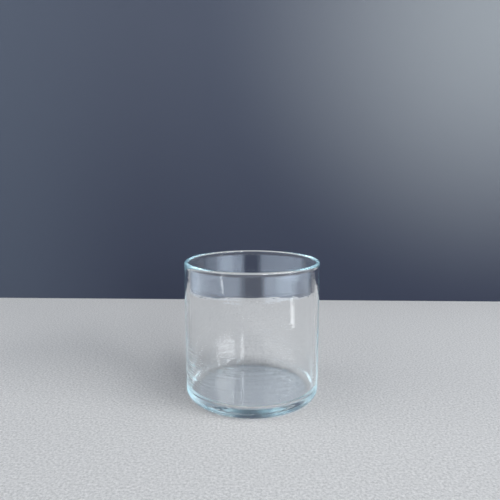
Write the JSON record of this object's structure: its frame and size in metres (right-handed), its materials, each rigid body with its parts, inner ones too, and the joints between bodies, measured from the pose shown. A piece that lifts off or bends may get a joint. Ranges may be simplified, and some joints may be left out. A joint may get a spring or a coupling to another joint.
{
  "type": "glass cylinder vase",
  "caption": "Straight-sided clear glass cylinder vase, open at the top, with a rounded rim, rounded heel and thick base.",
  "frame": {"origin": "the middle of the standing ring, in the plane of the surface the vase stands on", "axes": "+Z is the axis the vase is turned about, up through the open mouth; X and Y are alike"},
  "size_m": [0.097, 0.097, 0.1],
  "materials": {
    "glass": "clear soda-lime glass, fire-polished, with a faint aqua tint along thick edges"
  },
  "bodies": {
    "root": {"vase": "glass"}
  },
  "joints": []
}
